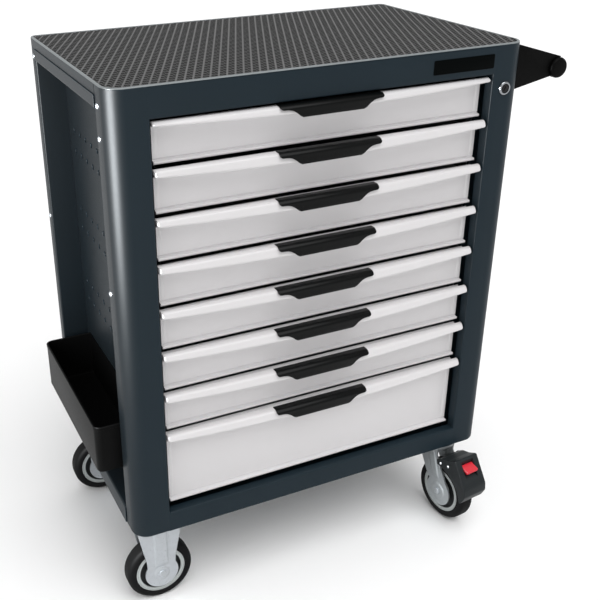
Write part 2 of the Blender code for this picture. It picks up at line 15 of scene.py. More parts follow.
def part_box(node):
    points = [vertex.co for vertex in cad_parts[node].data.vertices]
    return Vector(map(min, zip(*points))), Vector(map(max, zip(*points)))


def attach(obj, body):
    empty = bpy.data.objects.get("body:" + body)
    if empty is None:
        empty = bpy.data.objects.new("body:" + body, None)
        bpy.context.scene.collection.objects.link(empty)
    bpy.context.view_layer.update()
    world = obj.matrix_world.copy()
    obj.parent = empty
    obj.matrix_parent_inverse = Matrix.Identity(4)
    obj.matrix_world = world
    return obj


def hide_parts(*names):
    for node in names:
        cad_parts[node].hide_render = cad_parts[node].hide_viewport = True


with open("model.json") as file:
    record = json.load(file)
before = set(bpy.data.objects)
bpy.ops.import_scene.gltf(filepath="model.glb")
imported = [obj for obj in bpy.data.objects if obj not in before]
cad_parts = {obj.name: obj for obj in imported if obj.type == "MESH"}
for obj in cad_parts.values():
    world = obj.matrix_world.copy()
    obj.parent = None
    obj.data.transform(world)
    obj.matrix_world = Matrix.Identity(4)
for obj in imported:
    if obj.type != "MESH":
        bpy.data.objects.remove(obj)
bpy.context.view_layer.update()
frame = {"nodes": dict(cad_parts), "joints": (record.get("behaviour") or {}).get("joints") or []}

# ---- places read from the frame ----
tray_box, pan_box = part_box("top_tray"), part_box("base_pan")
ORIGIN = Vector(((tray_box[0].x + tray_box[1].x) / 2, (tray_box[0].y + tray_box[1].y) / 2, pan_box[0].z))
CABINET = Matrix.Translation(ORIGIN)


def extent(node):
    """A node's lowest and highest corner in the cabinet's frame."""
    low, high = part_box(node)
    return low - ORIGIN, high - ORIGIN


def axis_of(joint):
    """A joint's direction in the model's frame."""
    return Vector(next(j["axis"] for j in frame["joints"] if j["name"] == joint))


TRAY_LOW, TRAY_HIGH = extent("top_tray")
HALF_WIDTH, HALF_DEPTH, HEIGHT = TRAY_HIGH
SEAM = TRAY_LOW.z  # where the top tray meets the side panels
POST_LOW, POST_HIGH = extent("front_right_post")
OPENING = POST_LOW.x  # half the width of the drawer opening
POST_REAR = POST_HIGH.y
PANEL_LOW, PANEL_HIGH = extent("right_side_panel")
HEADER_LOW = extent("header_rail")[0].z
DRAWERS = 8

# ---- the sheet metal's own measures ----
SHEET = 0.0016
BEND = 0.0026  # how far a fold's curve starts before its corner
FRONT_RADIUS = 0.028
REAR_RADIUS = 0.012
RIM = 0.0026  # height of the lip round the mat
LIP_TOP = HEIGHT - RIM
FLANGE = PANEL_LOW.x + 0.0004  # the posts and the back fold in to here, beside the side panels


# ---- outlines ----
def arc(centre, radius, start, stop, count):
    """Points on an arc, with its angles in degrees."""
    turns = [radians(start + (stop - start) * i / count) for i in range(count + 1)]
    return [(centre[0] + radius * cos(t), centre[1] + radius * sin(t)) for t in turns]


def mirrored(points):
    """The line's other half, so that the two join up end to end."""
    return [(-x, y) for x, y in reversed(points)]


def rectangle(low, high):
    return [(low[0], low[1]), (high[0], low[1]), (high[0], high[1]), (low[0], high[1])]


def ramp(value, start, stop):
    """0 before start, 1 after stop, and smooth between them."""
    t = min(1.0, max(0.0, (value - start) / (stop - start)))
    return t * t * (3 - 2 * t)


def rounded(points, setback, steps=3, closed=True):
    """The outline with every corner replaced by a curve that starts a setback before it."""
    result = []
    count = len(points)
    for i, point in enumerate(points):
        here = Vector(point)
        reach = setback[i] if isinstance(setback, list) else setback
        if reach == 0 or (not closed and i in (0, count - 1)):
            result += [tuple(here)] * (steps + 1 if closed else 1)
            continue
        before = Vector(points[i - 1]) - here
        after = Vector(points[(i + 1) % count]) - here
        reach = min(reach, 0.45 * before.length, 0.45 * after.length)
        start = here + before.normalized() * reach
        stop = here + after.normalized() * reach
        for k in range(steps + 1):
            t = k / steps
            result.append(tuple((1 - t) ** 2 * start + 2 * t * (1 - t) * here + t * t * stop))
    return result


def sheet_outline(line, thickness=SHEET, bend=BEND):
    """Edge-on view of a bent sheet that lies to the left of the line."""
    line = [Vector(p) for p in rounded(line, bend, 4, closed=False)]
    inside = []
    for i, point in enumerate(line):
        normals = []
        for a, b in ((i - 1, i), (i, i + 1)):
            if a >= 0 and b < len(line):
                along = (line[b] - line[a]).normalized()
                normals.append(Vector((-along.y, along.x)))
        total = sum(normals, Vector((0, 0)))
        inside.append(point + total * (thickness * len(normals) / total.length_squared))
    return [tuple(p) for p in line + inside[::-1]]


def chest_plan(inset=0.0):
    """The cabinet's plan, with its rounder corners at the front."""
    x, y = HALF_WIDTH - inset, HALF_DEPTH - inset
    front, rear = max(FRONT_RADIUS - inset, 0.001), max(REAR_RADIUS - inset, 0.001)
    return (
        arc((-x + front, -y + front), front, 180, 270, 16)
        + arc((x - front, -y + front), front, 270, 360, 16)
        + arc((x - rear, y - rear), rear, 0, 90, 10)
        + arc((-x + rear, y - rear), rear, 90, 180, 10)
    )


def box_plan(low, high, inset, radius):
    """A rectangle with round corners, drawn in by an inset."""
    corner = max(radius - inset, 0.0004)
    x0, x1, y0, y1 = low[0] + inset, high[0] - inset, low[1] + inset, high[1] - inset
    return (
        arc((x1 - corner, y0 + corner), corner, -90, 0, 5)
        + arc((x1 - corner, y1 - corner), corner, 0, 90, 5)
        + arc((x0 + corner, y1 - corner), corner, 90, 180, 5)
        + arc((x0 + corner, y0 + corner), corner, 180, 270, 5)
    )


# ---- meshes ----
PLACES = {
    "xy": lambda u, v, w: (u, v, w),
    "xz": lambda u, v, w: (u, w, v),
    "yz": lambda u, v, w: (w, u, v),
}


def finished(bm):
    """The mesh that was built, with its faces turned outward."""
    bmesh.ops.remove_doubles(bm, verts=bm.verts, dist=1e-7)
    bmesh.ops.recalc_face_normals(bm, faces=bm.faces)
    mesh = bpy.data.meshes.new("shape")
    bm.to_mesh(mesh)
    bm.free()
    return mesh


def loft(rings, closed=False):
    """A skin through rings of points: closed joins the last to the first, or else both ends are capped."""
    bm = bmesh.new()
    made = [[bm.verts.new(p) for p in ring] for ring in rings]
    pairs = list(zip(made, made[1:])) + ([(made[-1], made[0])] if closed else [])
    for ring, following in pairs:
        for i in range(len(ring)):
            j = (i + 1) % len(ring)
            bm.faces.new((ring[i], ring[j], following[j], following[i]))
    if not closed:
        bm.faces.new(made[0][::-1])
        bm.faces.new(made[-1])
    return finished(bm)


def prism(outline, low, high, plane):
    """A flat outline with thickness, from low to high along the plane's normal."""
    return loft([[PLACES[plane](u, v, w) for u, v in outline] for w in (low, high)])


def stack(levels, plan):
    """A solid built up from plans: levels are (inset, height)."""
    return loft([[(x, y, z) for x, y in plan(inset)] for inset, z in levels])


def turned_to(direction):
    """The turn that takes Z to a direction."""
    return Vector((0, 0, 1)).rotation_difference(Vector(direction)).to_matrix().to_4x4()


def lathe(profile, steps=64, centre=(0, 0, 0), direction=(0, 0, 1)):
    """A closed (radius, height) profile turned about an axis; points at radius 0 meet on it."""
    rings = []
    for i in range(steps):
        t = 2 * pi * i / steps
        rings.append([(r * cos(t), r * sin(t), h) for r, h in profile])
    mesh = loft(rings, closed=True)
    mesh.transform(Matrix.Translation(centre) @ turned_to(direction))
    return mesh


def disc(radius, low, high, round_off, steps=48, centre=(0, 0, 0), direction=(0, 0, 1)):
    """A round slug with rounded rims."""
    corner = arc((radius - round_off, high - round_off), round_off, 90, 0, 4)
    foot = arc((radius - round_off, low + round_off), round_off, 0, -90, 4)
    return lathe([(0, high)] + corner + foot + [(0, low)], steps, centre, direction)


def joined(*meshes):
    """One mesh of several bodies that stay separate."""
    bm = bmesh.new()
    for mesh in meshes:
        bm.from_mesh(mesh)
    return finished(bm)


def new_object(name, data):
    obj = bpy.data.objects.new(name, data)
    bpy.context.scene.collection.objects.link(obj)
    return obj


def evaluated(mesh, *steps):
    """The mesh after modifiers, each given as a type and its settings."""
    body = new_object("work", mesh)
    for kind, settings in steps:
        modifier = body.modifiers.new(kind.lower(), kind)
        for key, value in settings.items():
            setattr(modifier, key, value)
    bpy.context.view_layer.update()
    made = bpy.data.meshes.new_from_object(body.evaluated_get(bpy.context.evaluated_depsgraph_get()))
    bpy.data.objects.remove(body)
    return made


def combined(mesh, operation, *tools):
    """The mesh cut by, joined with or kept only inside other closed meshes."""
    helpers = [new_object("tool", tool) for tool in tools]
    steps = [("BOOLEAN", {"operation": operation, "solver": "EXACT", "object": h}) for h in helpers]
    made = evaluated(mesh, *steps)
    for helper in helpers:
        bpy.data.objects.remove(helper)
    return made


def softened(mesh, width, segments=3, angle=30):
    """The mesh with its sharp edges rounded for good."""
    settings = {"width": width, "segments": segments, "limit_method": "ANGLE", "angle_limit": radians(angle)}
    return evaluated(mesh, ("BEVEL", settings))


# ---- materials ----
def linear(value):
    """One channel of a colour, from the 0 to 255 scale to linear light."""
    value /= 255
    return value / 12.92 if value <= 0.04045 else ((value + 0.055) / 1.055) ** 2.4


def paint(red, green, blue):
    """A colour given on the usual 0 to 255 scale."""
    return (linear(red), linear(green), linear(blue))


def surface(name, color, roughness, metallic=0.0, specular=0.5, mottle=0.06, broad=11.0, fine=650.0,
            height=0.00002, spread=0.05, stretch=(1, 1, 1), coat=0.0):
    """A procedural finish: broad colour mottle, uneven gloss and a fine relief of the given height."""
    made = bpy.data.materials.new(name)
    made.use_nodes = True
    made.diffuse_color = (*color, 1.0)
    nodes, links = made.node_tree.nodes, made.node_tree.links
    shader = nodes["Principled BSDF"]
    shader.inputs["Metallic"].default_value = metallic
    shader.inputs["Specular IOR Level"].default_value = specular
    shader.inputs["Coat Weight"].default_value = coat
    shader.inputs["Coat Roughness"].default_value = 0.12
    place = nodes.new("ShaderNodeTexCoord")
    mapping = nodes.new("ShaderNodeMapping")
    mapping.inputs["Scale"].default_value = stretch
    links.new(place.outputs["Object"], mapping.inputs["Vector"])

    def noise(scale, detail):
        node = nodes.new("ShaderNodeTexNoise")
        node.inputs["Scale"].default_value = scale
        node.inputs["Detail"].default_value = detail
        links.new(mapping.outputs["Vector"], node.inputs["Vector"])
        return node

    clouds = noise(broad, 5.0)
    grain = noise(fine, 3.0)
    mix = nodes.new("ShaderNodeMix")
    mix.data_type = "RGBA"
    mix.inputs["A"].default_value = (*(c * (1 - mottle) for c in color), 1.0)
    mix.inputs["B"].default_value = (*(min(1.0, c * (1 + mottle)) for c in color), 1.0)
    links.new(clouds.outputs["Fac"], mix.inputs["Factor"])
    links.new(mix.outputs["Result"], shader.inputs["Base Color"])
    gloss = nodes.new("ShaderNodeMapRange")
    gloss.inputs["From Min"].default_value = 0.3
    gloss.inputs["From Max"].default_value = 0.7
    gloss.inputs["To Min"].default_value = roughness - spread
    gloss.inputs["To Max"].default_value = roughness + spread
    links.new(grain.outputs["Fac"], gloss.inputs["Value"])
    links.new(gloss.outputs["Result"], shader.inputs["Roughness"])
    bump = nodes.new("ShaderNodeBump")
    bump.inputs["Distance"].default_value = height
    bump.inputs["Strength"].default_value = 1.0
    links.new(grain.outputs["Fac"], bump.inputs["Height"])
    links.new(bump.outputs["Normal"], shader.inputs["Normal"])
    return made


LOOKS, SHADED = {}, {}


def add_look(name, color, roughness, wear_and_highlight=1.35, **finish):
    """A slot's look: a finish for the faces, and a lighter, smoother one for the edges that shows wear and a
    painted highlight.
    """
    # the edge colour is lighter: wear, and a painted highlight along the bevels
    edge = tuple(min(0.9, c * wear_and_highlight + 0.004) for c in color)
    faces = surface(name, color, roughness, **finish)
    LOOKS[name] = faces, surface(name + "_edge", edge, roughness * 0.85, **finish)


def add_shade(name, color, roughness, **finish):
    """A finish for some faces of a piece, or for all of them where a slot covers more than one look."""
    SHADED[name] = surface(name, color, roughness, **finish)


add_look("cabinet_paint", paint(24, 36, 43), 0.42, 2.2, specular=0.12, mottle=0.10, fine=800.0,
         height=0.000025)
add_look("drawer_paint", paint(206, 204, 205), 0.34, 1.2, mottle=0.02, fine=900.0, height=0.00002)
add_look("zinc", paint(176, 180, 184), 0.36, 1.1, metallic=0.80, mottle=0.07, broad=120.0, fine=420.0,
         height=0.00002, spread=0.10)
add_look("chrome", paint(150, 153, 157), 0.16, 1.3, metallic=1.0, mottle=0.02, height=0.000004, spread=0.03)
add_look("black_plastic", paint(5, 5, 5), 0.45, 2.2, specular=0.05, mottle=0.12, fine=1500.0, height=0.00003)
add_look("mat_rubber", paint(80, 80, 80), 0.72, 1.3, specular=0.15, mottle=0.15, broad=60.0, fine=1800.0,
         height=0.00005)
add_look("tyre_rubber", paint(13, 13, 14), 0.62, 1.2, specular=0.08, mottle=0.14, broad=40.0, fine=1200.0,
         height=0.00004)
add_look("core_grey", paint(170, 175, 174), 0.42, 1.15, mottle=0.05, fine=900.0)
add_look("red_plastic", paint(206, 34, 50), 0.35, 1.2, mottle=0.04, fine=1300.0)
add_look("steel", paint(150, 152, 155), 0.38, 1.1, metallic=1.0, mottle=0.05, broad=60.0, fine=300.0,
         stretch=(1, 0.06, 1), height=0.00001, spread=0.09)

add_shade("hood_grey", paint(31, 35, 37), 0.45, specular=0.15, mottle=0.12, fine=1500.0)
add_shade("grip_gloss", paint(6, 7, 7), 0.30, specular=0.11, mottle=0.10, fine=1500.0)
# painted shade for the mat's pits and painted highlight for its raised ribs
add_shade("mat_pit_painted_shade", paint(11, 11, 12), 0.9, specular=0.05, mottle=0.2, fine=1500.0)
add_shade("mat_rib_painted_highlight", paint(98, 98, 98), 0.66, specular=0.2, mottle=0.14, fine=1800.0)
add_shade("badge_gloss", paint(4, 6, 6), 0.45, specular=0.02, mottle=0.05, fine=500.0, height=0.000004,
          spread=0.03)
# painted highlight for the upper edge of the tray's lip
add_shade("rim_painted_highlight", paint(120, 126, 128), 0.34, mottle=0.05, fine=800.0)
add_shade("core_shadow", paint(40, 42, 43), 0.6, specular=0.2, mottle=0.1, fine=900.0)
# painted shade for the recessed face of the chrome key plug
add_shade("lock_plug_painted_shade", paint(16, 16, 18), 0.5, specular=0.2, mottle=0.1)
add_shade("fork_grey", paint(148, 152, 154), 0.46, metallic=0.7, mottle=0.08, broad=90.0, fine=500.0,
          spread=0.08)
add_shade("box_paint", paint(120, 122, 124), 0.45, mottle=0.04, fine=900.0)


def bevel_edges(obj, width, angle):
    bevel = obj.modifiers.new("edges", "BEVEL")
    bevel.width = width
    bevel.segments = 2
    bevel.limit_method = "ANGLE"
    bevel.angle_limit = radians(angle)
    return bevel


def show(name, mesh, look, body="root", replaces=(), edge=0, angle=35, extra=(), face=None):
    """One visible piece: its mesh moves into the model's frame, and its bevelled edges get the lighter edge
    finish, which shows wear and a painted highlight.

    The look picks the finishes. A shade may stand in for the look's faces, and extra ones follow as index 2
    and up.
    """
    mesh = mesh.copy()
    mesh.transform(CABINET)
    obj = new_object(name, mesh)
    mesh.shade_smooth()
    mesh.set_sharp_from_angle(angle=radians(angle))
    faces, wear_and_highlight = LOOKS[look]
    mesh.materials.append(SHADED[face] if face else faces)
    mesh.materials.append(wear_and_highlight)
    for other in extra:
        mesh.materials.append(SHADED[other])
    if edge:
        bevel = bevel_edges(obj, edge, angle)
        bevel.harden_normals = True
        # the bevels take the lighter edge finish: wear, and a painted highlight along the edges
        bevel.material = 1
    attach(obj, body)
    if replaces:
        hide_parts(*replaces)
    return obj


# ---- cabinet ----
def make_top_tray():
    """The tray's lip, its seat under the mat, and the skirt that laps over the sides and the back."""
    levels = [
        (0.0030, LIP_TOP - 0.0030),
        (0.0012, LIP_TOP - 0.0012),
        (0.0, LIP_TOP + 0.0002),
        (0.0, HEIGHT - 0.0018),
        (0.0004, HEIGHT - 0.0008),
        (0.0012, HEIGHT - 0.0002),
        (0.0020, HEIGHT),
        (0.0036, HEIGHT),
        (0.0044, HEIGHT - 0.0006),
        (0.0048, HEIGHT - 0.0020),
        (0.0052, LIP_TOP),
    ]
    lip = stack(levels, chest_plan)
    for face in lip.polygons:
        if face.center.z > HEIGHT - 0.0019:
            face.material_index = 2  # painted highlight along the lip's upper edge
    show("top_tray_shell", lip, "cabinet_paint", replaces=["top_tray"], extra=["rim_painted_highlight"])
    x, y = HALF_WIDTH, HALF_DEPTH
    line = [(x, POST_REAR), (x, y - REAR_RADIUS)]
    line += arc((x - REAR_RADIUS, y - REAR_RADIUS), REAR_RADIUS, 0, 90, 10)
    skirt = prism(sheet_outline(line + mirrored(line), bend=0), SEAM, LIP_TOP, "xy")
    show("top_tray_skirt", skirt, "cabinet_paint", edge=0.0006)


def make_mat():
    """Moulded rubber: slanting raised ribs, and staggered columns of pits between them."""
    pitch, pit_row, slant = 0.0126, 0.0096, 0.46
    columns = [0.0, 0.0008, 0.0019, 0.0043, 0.0067, 0.0091, 0.0115]
    low, high = extent("top_mat")
    inset = 0.0006
    half, front, back = high.x - inset, low.y + inset, high.y - inset
    reach = int((half + slant * back) / pitch) + 2
    lines = [pitch * i + c for i in range(-reach, reach + 1) for c in columns]
    rows = int((back - front) / (pit_row / 4))
    ys = [front + (back - front) * i / rows for i in range(rows + 1)]
    rib, depth = 0.0009, 0.0012
    top = high.z - rib

    def kept_inside(x, y):
        x = max(-half, min(half, x))
        corner_x, corner_y = half - FRONT_RADIUS, -front - FRONT_RADIUS
        across, along = abs(x) - corner_x, -y - corner_y
        if across > 0 and along > 0 and hypot(across, along) > FRONT_RADIUS:
            shrink = FRONT_RADIUS / hypot(across, along)
            x = (corner_x + across * shrink) * (1 if x > 0 else -1)
            y = -(corner_y + along * shrink)
        return x, y

    def level(index, row):
        column = index % len(columns)
        if column in (0, 1):
            return top + rib
        if column == 3 and row % 4 == 1 or column == 5 and row % 4 == 3:
            return top - depth
        return top

    bm = bmesh.new()
    grid = []
    for row, y in enumerate(ys):
        places = [kept_inside(s + slant * y, y) for s in lines]
        grid.append([bm.verts.new((px, py, level(i, row))) for i, (px, py) in enumerate(places)])
    for r in range(rows):
        for c in range(len(lines) - 1):
            corners = (grid[r][c], grid[r][c + 1], grid[r + 1][c + 1], grid[r + 1][c])
            if max(v.co.x for v in corners) - min(v.co.x for v in corners) < 1e-5:
                continue
            face = bm.faces.new(corners)
            if face.calc_area() < 1e-9:
                bm.faces.remove(face)
                continue
            mean = sum(v.co.z for v in corners) / 4
            # raised ribs get a painted highlight, deep pits a painted shade
            face.material_index = 3 if mean > top + rib * 0.4 else 2 if mean < top - depth * 0.2 else 0
    bmesh.ops.delete(bm, geom=[v for v in bm.verts if not v.link_faces], context="VERTS")
    bmesh.ops.remove_doubles(bm, verts=bm.verts, dist=2e-5)
    bmesh.ops.dissolve_degenerate(bm, edges=bm.edges, dist=1e-6)
    rim = [e for e in bm.edges if e.is_boundary]
    grown = bmesh.ops.extrude_edge_only(bm, edges=rim)["geom"]
    for v in grown:
        if isinstance(v, bmesh.types.BMVert):
            v.co.z = low.z
    loop = [e for e in grown if isinstance(e, bmesh.types.BMEdge)]
    bmesh.ops.contextual_create(bm, geom=loop)
    show("mat", finished(bm), "mat_rubber", replaces=["top_mat"], angle=50, extra=["mat_pit_painted_shade", "mat_rib_painted_highlight"])


def make_posts():
    """Front posts: the return beside the drawers, the front, a round corner, the side and its flange."""
    x, y = HALF_WIDTH, HALF_DEPTH
    corner = arc((x - FRONT_RADIUS, -y + FRONT_RADIUS), FRONT_RADIUS, -90, 0, 16)
    inner = rounded([(OPENING, -y + 0.018), (OPENING, -y), corner[0]], 0.0022, 4, closed=False)[:-1]
    flange = rounded([corner[-1], (x, POST_REAR), (FLANGE, POST_REAR)], BEND, 4, closed=False)[1:]
    line = inner + corner + flange
    for side in ("right", "left"):
        path = line if side == "right" else mirrored(line)
        mesh = prism(sheet_outline(path, bend=0), POST_LOW.z, LIP_TOP, "xy")
        if side == "right":
            low, high = extent("lock_barrel")
            middle = (low + high) / 2
            hole = disc((high.x - low.x) / 2 - 0.0012, -0.02, 0.02, 0.001, 40, middle, (0, 1, 0))
            mesh = combined(mesh, "DIFFERENCE", hole)
        show(f"{side}_post", mesh, "cabinet_paint", replaces=[f"front_{side}_post"], edge=0.0005)


LAP = 0.0026  # the front rails run this far onto the posts, a hair proud of them, so that no seam shows
HAIR = 0.00005


def make_header():
    """Folded rail above the drawers."""
    front = -HALF_DEPTH - HAIR
    line = [(front + 0.012, LIP_TOP), (front, LIP_TOP), (front, HEADER_LOW), (front + 0.016, HEADER_LOW)]
    mesh = prism(sheet_outline(line), -OPENING - LAP, OPENING + LAP, "yz")
    show("header", mesh, "cabinet_paint", replaces=["header_rail"])


def make_badge():
    """Blank glossy plate at the right end of the header."""
    low, high = (0.1705, 0.7130), (0.2835, 0.7350)
    outline = rounded(rectangle(low, high), 0.0025, 4)
    plate = softened(prism(outline, -HALF_DEPTH - 0.0010, -HALF_DEPTH - 0.0001, "xz"), 0.0004, 2)
    show("blank_badge", plate, "black_plastic", face="badge_gloss")


def make_sides():
    """Side panels with their six rows of hanging holes, folded out to the posts at the top and bottom."""
    foot, head = 0.034, SEAM - 0.0183
    recess = PANEL_LOW.x + SHEET
    line = [
        (HALF_WIDTH, PANEL_LOW.z),
        (HALF_WIDTH, foot),
        (recess, foot),
        (recess, head),
        (HALF_WIDTH, head),
        (HALF_WIDTH, SEAM),
    ]
    hole_radius, hole_pitch, first_hole = 0.0045, 0.0325, 0.144
    pair_gap, pair_pitch, top_row = 0.0360, 0.1410, 0.598
    outline = sheet_outline(line[::-1])
    for side, name in ((1, "right"), (-1, "left")):
        mesh = prism([(side * u, v) for u, v in outline], PANEL_LOW.y, PANEL_HIGH.y, "xz")
        holes = []
        for row in range(6):
            z = top_row - pair_pitch * (row // 2) - pair_gap * (row % 2)
            for column in range(9):
                middle = (side * recess, first_hole - hole_pitch * column, z)
                holes.append(disc(hole_radius, -0.006, 0.006, 0.001, 20, middle, (1, 0, 0)))
        mesh = combined(mesh, "DIFFERENCE", joined(*holes))
        show(f"{name}_side", mesh, "cabinet_paint", replaces=[f"{name}_side_panel"], edge=0.0004, angle=40)


def make_rear():
    """Back panel folded round both rear corners, with a return that closes each side recess."""
    low, high = extent("rear_panel")
    x, y = HALF_WIDTH, HALF_DEPTH
    half = rounded([(FLANGE, low.y), (x, low.y), (x, y - REAR_RADIUS)], BEND, 4, closed=False)
    half += arc((x - REAR_RADIUS, y - REAR_RADIUS), REAR_RADIUS, 0, 90, 10)[1:]
    mesh = prism(sheet_outline(half + mirrored(half), bend=0), low.z, high.z, "xy")
    show("rear", mesh, "cabinet_paint", replaces=["rear_panel"], edge=0.0005)


def make_base():
    """Floor plate, the rail below the bottom drawer and the lip along the back."""
    rail_top = 0.0375
    front, rear = -HALF_DEPTH - HAIR, HALF_DEPTH - 0.0104
    pan = stack([(0.0012, 0.0), (0.0006, 0.0006), (0.0006, 0.0016)], chest_plan)
    line = [(front + 0.016, rail_top), (front, rail_top), (front, 0.0004)]
    rail = prism(sheet_outline(line), -OPENING - LAP, OPENING + LAP, "yz")
    lip = prism(sheet_outline([(rear, 0.0008), (rear, 0.025)]), -0.28, 0.28, "yz")
    show("base", combined(pan, "UNION", rail, lip), "cabinet_paint", replaces=["base_pan"])


def make_bolts():
    """Dome-headed screws through the sides of the posts and of the rear corners."""
    spots = [(-0.168, 0.7186), (-0.167, 0.6724), (-0.164, 0.4353), (0.190, 0.7186), (0.190, 0.4353)]
    profile = [(0, 0.0022)] + arc((0.0, -0.0030), 0.0052, 80, 26, 6) + [(0.0047, -0.0010), (0, -0.0010)]
    socket = [(0, 0.0030), (0.0016, 0.0030), (0.0016, 0.0006), (0, 0.0006)]
    for side, name in ((-1, "left"), (1, "right")):
        heads = []
        for y, z in spots:
            place = (HALF_WIDTH * side, y, z)
            outward = (side, 0, 0)
            head = lathe(profile, 32, place, outward)
            heads.append(combined(head, "DIFFERENCE", lathe(socket, 6, place, outward)))
        show(f"{name}_post_screws", joined(*heads), "zinc")


# ---- handle and side tray ----
def make_handle():
    """A tapered bracket at each end and a round bar between them, with its ends through the brackets."""
    bar_low, bar_high = extent("handle_bar")
    centre = (bar_low + bar_high) / 2 + Vector((0.001, 0, 0.003))
    radius = (bar_high.z - bar_low.z) / 2
    for name in ("front", "rear"):
        low, high = extent(f"handle_bracket_{name}")
        step = low.x + 0.007
        outline = (
            [(low.x, low.z - 0.003), (step, low.z - 0.003), (centre.x - 0.004, centre.z - 0.0115)]
            + [(centre.x + 0.003, centre.z)]
            + arc((centre.x, centre.z), 0.0188, 74, 78, 1)
            + [(step, high.z), (low.x, high.z)]
        )
        arm = prism(rounded(outline, 0.002, 2), low.y, high.y, "xz")
        middle = (centre.x, (low.y + high.y) / 2, centre.z)
        bore = disc(radius + 0.0002, -0.03, 0.03, 0.001, 56, middle, (0, 1, 0))
        arm = softened(combined(arm, "DIFFERENCE", bore), 0.0022, 3, 32)
        show(f"{name}_handle_bracket", arm, "black_plastic", replaces=[f"handle_bracket_{name}"])
    half = (bar_high.y - bar_low.y) / 2
    cap, groove = half - 0.0080, radius - 0.0008
    profile = [(0, half)] + arc((radius - 0.0055, half - 0.0060), 0.0055, 84, 0, 9)
    profile += [(radius, cap), (groove, cap - 0.0006), (groove, cap - 0.0016), (radius, cap - 0.0022)]
    profile += [(r, -h) for r, h in reversed(profile)]
    bar = lathe(profile, 64, centre, (0, 1, 0))
    show("push_bar", bar, "black_plastic", replaces=["handle_bar"])


def make_side_tray():
    """Open moulded tray, with a rolled rim and rounded corners, hung low in the left recess."""
    low, high = extent("side_tray")
    wall, foot = 0.0028, 0.004

    def plan(inset):
        return box_plan(low, (high.x + 0.006, high.y), inset, 0.011)

    levels = [
        (foot, low.z),
        (foot * 0.3, low.z + foot * 0.3),
        (0.0, low.z + foot),
        (0.0, high.z - 0.006),
        (-0.0006, high.z - 0.0055),
        (-0.0006, high.z - 0.0008),
        (0.0002, high.z),
        (wall - 0.0008, high.z),
        (wall, high.z - 0.0008),
        (wall, low.z + 0.008),
        (wall + 0.0015, low.z + 0.0045),
        (wall + 0.005, low.z + wall),
    ]
    shell = stack(levels, plan)
    beyond = rectangle((high.x, low.y - 0.01), (high.x + 0.02, high.y + 0.01))
    trim = prism(beyond, low.z - 0.01, high.z + 0.01, "xy")
    closing = rectangle((high.x - wall, low.y + 0.001), (high.x, high.y - 0.001))
    back = prism(closing, low.z + 0.001, high.z - 0.0004, "xy")
    shell = combined(combined(shell, "DIFFERENCE", trim), "UNION", back)
    show("parts_tray", shell, "black_plastic", replaces=["side_tray"])


# ---- lock ----
def make_lock():
    """A stepped chrome ring round the key plug, with a slanting slot and the cam behind it."""
    low, high = extent("lock_barrel")
    centre = Vector(((low.x + high.x) / 2, -HALF_DEPTH, (low.z + high.z) / 2))
    outer, bore = (high.x - low.x) / 2, 0.0072
    depth = high.y - centre.y
    profile = [(bore, 0.0014)] + arc((outer - 0.0022, 0.0008), 0.0022, 118, 0, 7)
    profile += [(outer, 0.0004), (outer - 0.0016, 0.0), (outer - 0.0016, -depth), (bore, -depth)]
    ring = lathe(profile, 56, centre, (0, -1, 0))
    show("lock_ring", ring, "chrome", replaces=["lock_barrel"])
    face = 0.0022
    profile = [(0, face)] + arc((bore - 0.0014, face - 0.0010), 0.0010, 90, 0, 3)
    profile += [(bore - 0.0004, -0.018), (0, -0.018)]
    key = lathe(profile, 48, (0, 0, 0), (0, -1, 0))
    slot = prism(rounded(rectangle((-0.0008, -0.0044), (0.0008, 0.0044)), 0.0004, 2), -0.02, 0.004, "xz")
    slot.transform(Matrix.Rotation(radians(28), 4, "Y"))
    key = combined(key, "DIFFERENCE", slot)
    cam_end = (extent("lock_plug")[1] - centre).x
    cam_outline = rounded(rectangle((-0.0035, -0.0035), (cam_end, 0.0035)), 0.0025, 4)
    key = combined(key, "UNION", prism(cam_outline, 0.0172, 0.0215, "xz"))
    key.transform(Matrix.Translation(centre))
    # the chrome plug's faces take a painted shade for its recess; only its bevels stay chrome
    show("key_plug", key, "chrome", body="lock_plug", replaces=["lock_plug"], edge=0.0002, face="lock_plug_painted_shade")


# ---- drawers ----
NOSE_BOW = 0.008  # the pull rail stands out this much further in the middle
LIP_DROP, LIP_BOW = 0.0112, 0.0062  # height of the pull rail's nose, at its ends and more in the middle
FIRST_SHORTER = 0.0045  # the top drawer's nose is lower by this much
SIDE_BAND = 0.0056
RUNNER = 0.0120  # room for a slide beside the drawer box
RAIL_BACK = 0.0125  # the rail's top is flat from its nose back to here
OVERHANG = 0.0042  # the rail is wider than the face by this much at each end
ROLL = 0.0045  # the pull rail's ends are rounded back over this width


